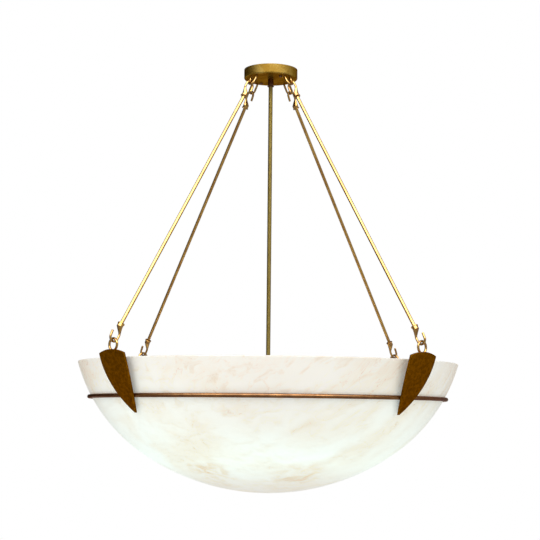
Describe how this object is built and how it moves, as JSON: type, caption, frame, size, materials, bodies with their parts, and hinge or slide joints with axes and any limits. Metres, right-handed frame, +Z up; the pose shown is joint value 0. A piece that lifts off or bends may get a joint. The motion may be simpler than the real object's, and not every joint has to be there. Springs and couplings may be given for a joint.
{
  "type": "alabaster bowl pendant",
  "caption": "Ceiling pendant: a deep alabaster bowl carried by a ring and claws on hooked rods that hang from a canopy, with a lamp cluster inside.",
  "frame": {"origin": "centre of the canopy's ceiling face", "axes": "+Z up into the ceiling, +X to the right of the picture, -Y towards its camera"},
  "size_m": [0.913, 0.913, 1.0365],
  "materials": {
    "aged_brass": "aged, brown-gold, rubbed bright on high spots",
    "bronze_claw": "dark bronze patina, mottled",
    "zinc_steel": "zinc plated",
    "earth_screw_finish": "green passivated",
    "lamp_hardware": "plain satin brass",
    "socket_porcelain": "glazed white, heat resistant",
    "frosted_lamp": "frosted, lit",
    "alabaster": "polished, faint warm veins, lit from inside"
  },
  "bodies": {
    "ceiling_set": {"canopy": "aged_brass", "canopy_screws": "aged_brass", "stem_coupling": "aged_brass", "stem_tube": "aged_brass", "mounting_crossbar": "zinc_steel", "hanger_nipple": "zinc_steel", "nipple_locknuts": "zinc_steel", "loop_nuts": "zinc_steel", "earth_screw": "earth_screw_finish", "cluster_nipple": "zinc_steel", "cluster_body": "lamp_hardware", "cluster_cap": "lamp_hardware", "cluster_finial": "lamp_hardware", "canopy_loop_rear_right": "aged_brass", "lamp_arm_rear_right": "lamp_hardware", "lamp_socket_rear_right": "socket_porcelain", "lamp_rear_right": "frosted_lamp", "canopy_loop_rear_left": "aged_brass", "lamp_arm_rear_left": "lamp_hardware", "lamp_socket_rear_left": "socket_porcelain", "lamp_rear_left": "frosted_lamp", "canopy_loop_front_left": "aged_brass", "lamp_arm_front_left": "lamp_hardware", "lamp_socket_front_left": "socket_porcelain", "lamp_front_left": "frosted_lamp", "canopy_loop_front_right": "aged_brass", "lamp_arm_front_right": "lamp_hardware", "lamp_socket_front_right": "socket_porcelain", "lamp_front_right": "frosted_lamp"},
    "cradle": {"support_ring": "aged_brass", "claw_rear_right": "bronze_claw", "claw_rear_left": "bronze_claw", "claw_front_left": "bronze_claw", "claw_front_right": "bronze_claw", "claw_eye_rear_right": "aged_brass", "claw_eye_rear_left": "aged_brass", "claw_eye_front_left": "aged_brass", "claw_eye_front_right": "aged_brass"},
    "bowl_shell": {"bowl": "alabaster"},
    "suspension_rear_right": {"rod_rear_right": "aged_brass", "upper_hook_rear_right": "aged_brass", "lower_hook_rear_right": "aged_brass"},
    "suspension_rear_left": {"rod_rear_left": "aged_brass", "upper_hook_rear_left": "aged_brass", "lower_hook_rear_left": "aged_brass"},
    "suspension_front_left": {"rod_front_left": "aged_brass", "upper_hook_front_left": "aged_brass", "lower_hook_front_left": "aged_brass"},
    "suspension_front_right": {"rod_front_right": "aged_brass", "upper_hook_front_right": "aged_brass", "lower_hook_front_right": "aged_brass"}
  },
  "joints": [
    {"name": "sway", "type": "hinge", "parent": "ceiling_set", "child": "cradle", "pos_m": [0, 0, 0.06294], "axis": [0, 1, 0], "range_deg": [-5, 5]},
    {"name": "hook_swing_rear_right", "type": "hinge", "parent": "ceiling_set", "child": "suspension_rear_right", "pos_m": [0.04943, 0.04943, -0.0475], "axis": [0, 1, 0], "range_deg": [-5.87, 5.87]},
    {"name": "hook_swing_rear_left", "type": "hinge", "parent": "ceiling_set", "child": "suspension_rear_left", "pos_m": [-0.04943, 0.04943, -0.0475], "axis": [0, 1, 0], "range_deg": [-5.87, 5.87]},
    {"name": "hook_swing_front_left", "type": "hinge", "parent": "ceiling_set", "child": "suspension_front_left", "pos_m": [-0.04943, -0.04943, -0.0475], "axis": [0, 1, 0], "range_deg": [-5.87, 5.87]},
    {"name": "hook_swing_front_right", "type": "hinge", "parent": "ceiling_set", "child": "suspension_front_right", "pos_m": [0.04943, -0.04943, -0.0475], "axis": [0, 1, 0], "range_deg": [-5.87, 5.87]},
    {"name": "bowl_lift", "type": "slide", "parent": "cradle", "child": "bowl_shell", "axis": [0, 0, 1], "range_m": [0, 0.03]}
  ],
  "couplings": [
    {"joint": "hook_swing_rear_right", "follows": "sway", "ratio": 1.1723},
    {"joint": "hook_swing_rear_left", "follows": "sway", "ratio": 1.1723},
    {"joint": "hook_swing_front_left", "follows": "sway", "ratio": 1.1723},
    {"joint": "hook_swing_front_right", "follows": "sway", "ratio": 1.1723}
  ]
}
